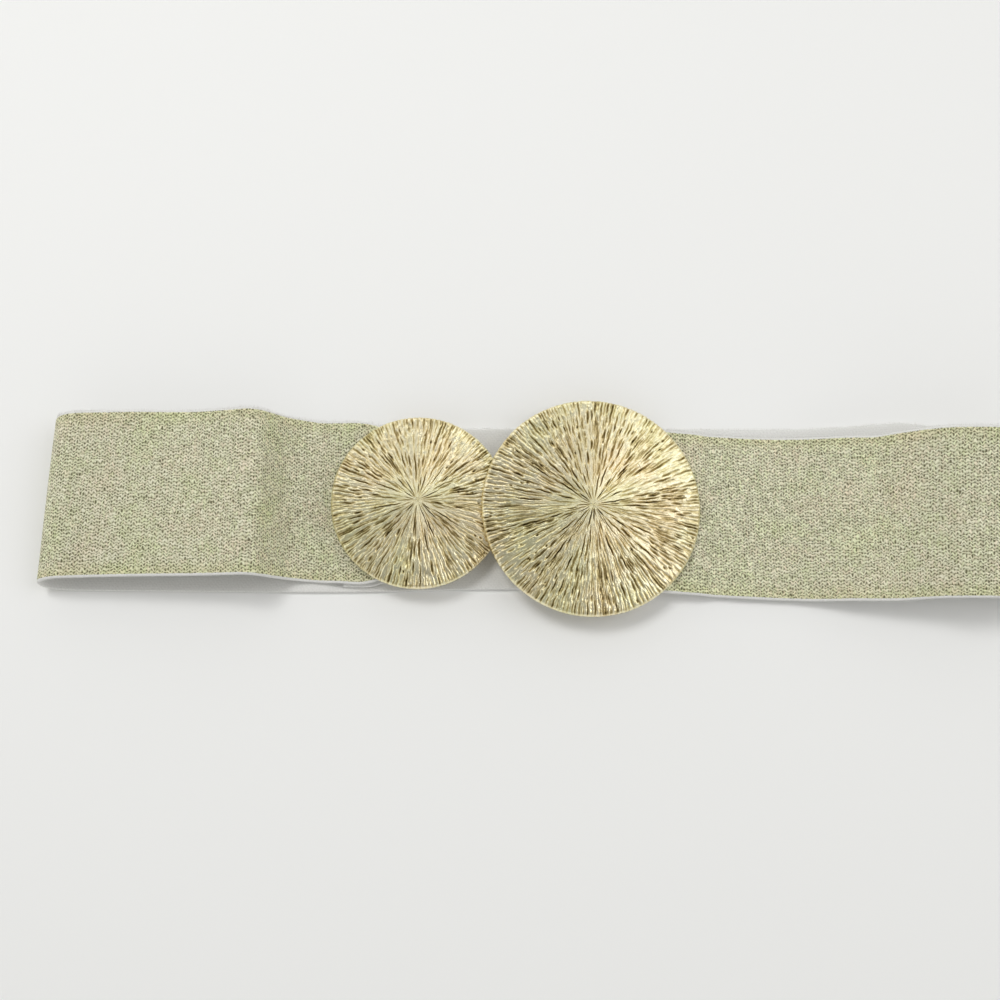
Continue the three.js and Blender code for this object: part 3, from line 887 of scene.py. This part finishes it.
def hairs(roots, headings, lengths, radius):
    """Thin three-sided threads that taper to a point, one from each root."""
    count = len(roots)
    side = np.cross(headings, np.array([0.31, 0.2, 0.93]))
    side /= np.linalg.norm(side, axis=1, keepdims=True)
    other = np.cross(headings, side)
    angles = np.arange(3) * 2 * math.pi / 3
    ring = np.cos(angles)[None, :, None] * side[:, None] + np.sin(angles)[None, :, None] * other[:, None]
    sag = np.array([0, 0, -THREAD_SAG])
    middle = roots + headings * (lengths * 0.55)[:, None]
    tip = roots + headings * lengths[:, None] + sag * lengths[:, None]
    points = np.concatenate(
        [roots[:, None] + ring * radius, middle[:, None] + ring * radius * 0.8, tip[:, None]], axis=1
    ).reshape(-1, 3)
    pattern = []
    for k in range(3):
        n = (k + 1) % 3
        pattern += [[k, n, 3 + n, 3 + k], [3 + k, 3 + n, 6]]
    pattern.append([2, 1, 0])
    faces = [[7 * i + v for v in corner] for i in range(count) for corner in pattern]
    return points, faces


def make_fringe(band, thread):
    """Short ends of white thread that stand out from both selvedges."""
    points, normals = band.surface([0.0, 1.0])
    roots, headings, lengths = [], [], []
    for column, spacing, reach in FRINGE:
        at = np.arange(2.0, band.length[-1] - 2, spacing)
        at = at + rng.uniform(-0.4, 0.4, len(at)) * spacing
        edge = np.stack([np.interp(at, band.length, points[:, column, k]) for k in range(3)], axis=1)
        other = np.stack([np.interp(at, band.length, points[:, 1 - column, k]) for k in range(3)], axis=1)
        normal = np.stack([np.interp(at, band.length, normals[:, column, k]) for k in range(3)], axis=1)
        outward = (edge - other) / np.linalg.norm(edge - other, axis=1, keepdims=True)
        along = np.cross(normal, outward)
        heading = outward + along * rng.normal(0, 0.35, len(at))[:, None]
        heading += normal * rng.normal(0, 0.2, len(at))[:, None]
        roots.append(edge - outward * 0.12 + normal * rng.uniform(-0.5, 0.5, len(at))[:, None])
        headings.append(heading / np.linalg.norm(heading, axis=1, keepdims=True))
        lengths.append(reach * rng.uniform(0.4, 1.2, len(at)))
    roots, headings, lengths = np.concatenate(roots), np.concatenate(headings), np.concatenate(lengths)
    clear = (roots[:, 2] + lengths * np.minimum(headings[:, 2], 0)) > 0.45
    made = mesh_object("edge_fringe", *hairs(roots[clear], headings[clear], lengths[clear], THREAD_RADIUS))
    made.data.materials.append(thread)
    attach(made, "root")
    return made


def make_floor():
    mesh = bpy.data.meshes.new("floor")
    signs = ((-1, -1), (1, -1), (1, 1), (-1, 1))
    corners = [(x * FLOOR_REACH, y * FLOOR_REACH, -FLOOR_DROP) for x, y in signs]
    mesh.from_pydata(corners, [], [(0, 1, 2, 3)])
    made = bpy.data.objects.new("floor", mesh)
    bpy.context.scene.collection.objects.link(made)
    material, tree, shader = new_material("floor")
    shader.inputs["Base Color"].default_value = (0.9, 0.9, 0.885, 1)
    shader.inputs["Roughness"].default_value = 0.7
    mesh.materials.append(material)


def area_light(name, place, target, size, power):
    light = bpy.data.lights.new(name, "AREA")
    light.shape = "RECTANGLE"
    light.size, light.size_y = size
    light.energy = power
    made = bpy.data.objects.new(name, light)
    made.location = place
    made.rotation_euler = (Vector(target) - Vector(place)).to_track_quat("-Z", "Y").to_euler()
    bpy.context.scene.collection.objects.link(made)
    return made


def make_lights(aim):
    x, y = aim
    made = {}
    for name, (place, target_x, size, power) in LIGHTS.items():
        stands = (x + place[0], y + place[1], place[2])
        made[name] = area_light(name, stands, (x + target_x, y, 0), size, power)
    made["key"].visible_glossy = False
    made["far_panel"].visible_diffuse = False
    world = bpy.data.worlds.new("studio")
    world.use_nodes = True
    g = Graph(world.node_tree)
    background = world.node_tree.nodes["Background"]
    sky = g.node("ShaderNodeSeparateXYZ", {"Vector": g.node("ShaderNodeTexCoord").outputs["Generated"]})
    light = g.ramp(sky.outputs["Z"], [(0.25, (0.82, 0.82, 0.81)), (0.95, (0.25, 0.25, 0.245))])
    g.feed(background.inputs["Color"], light)
    bpy.context.scene.world = world
    bpy.context.scene.view_settings.view_transform = "Standard"


def make_camera(aim):
    data = bpy.data.cameras.new("camera")
    data.sensor_width = 36
    data.lens = 36 * CAMERA_DISTANCE / VIEW_WIDTH
    made = bpy.data.objects.new("camera", data)
    elevation = math.radians(ELEVATION)
    away = Vector((0, -math.cos(elevation), math.sin(elevation))) * CAMERA_DISTANCE * MM
    made.location = Vector((*aim, 0)) + away
    made.rotation_euler = (-away).to_track_quat("-Z", "Y").to_euler()
    bpy.context.scene.collection.objects.link(made)
    bpy.context.scene.camera = made


def build():
    small, large = seat_discs()
    large.y = small.y - DISC_STEP
    middle_y = small.y - DISC_STEP / 2
    aim = ((large.x + AIM_FROM_LARGE_DISC[0]) * MM, (large.y + AIM_FROM_LARGE_DISC[1]) * MM)
    make_camera(aim)
    band = Band(small, large)
    thread = white_thread()
    cloth = make_band(band, lurex(), inner_weave())
    fringe = make_fringe(band, thread)
    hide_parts("elastic_band")
    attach(cloth, "root")
    face_metal, wire_metal = gilt(), plain_wire()
    make_disc(small, SMALL_COLUMNS, SMALL_ROWS, face_metal)
    make_disc(large, LARGE_COLUMNS, LARGE_ROWS, face_metal)
    for disc, bar, clasp in (
        (small, small.x - SMALL_BAR_INSET, small.x + SMALL_CLASP_INSET),
        (large, large.x + LARGE_BAR_INSET, large.x - LARGE_CLASP_INSET),
    ):
        inset = SMALL_BAR_INSET if disc is small else LARGE_BAR_INSET
        make_bars(disc, bar, disc.y, strap_span(disc.radius, inset), clasp, middle_y, wire_metal)
    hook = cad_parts["clasp_hook"]
    for slot in hook.material_slots:
        slot.material = wire_metal
    make_floor()
    make_lights(aim)


build()
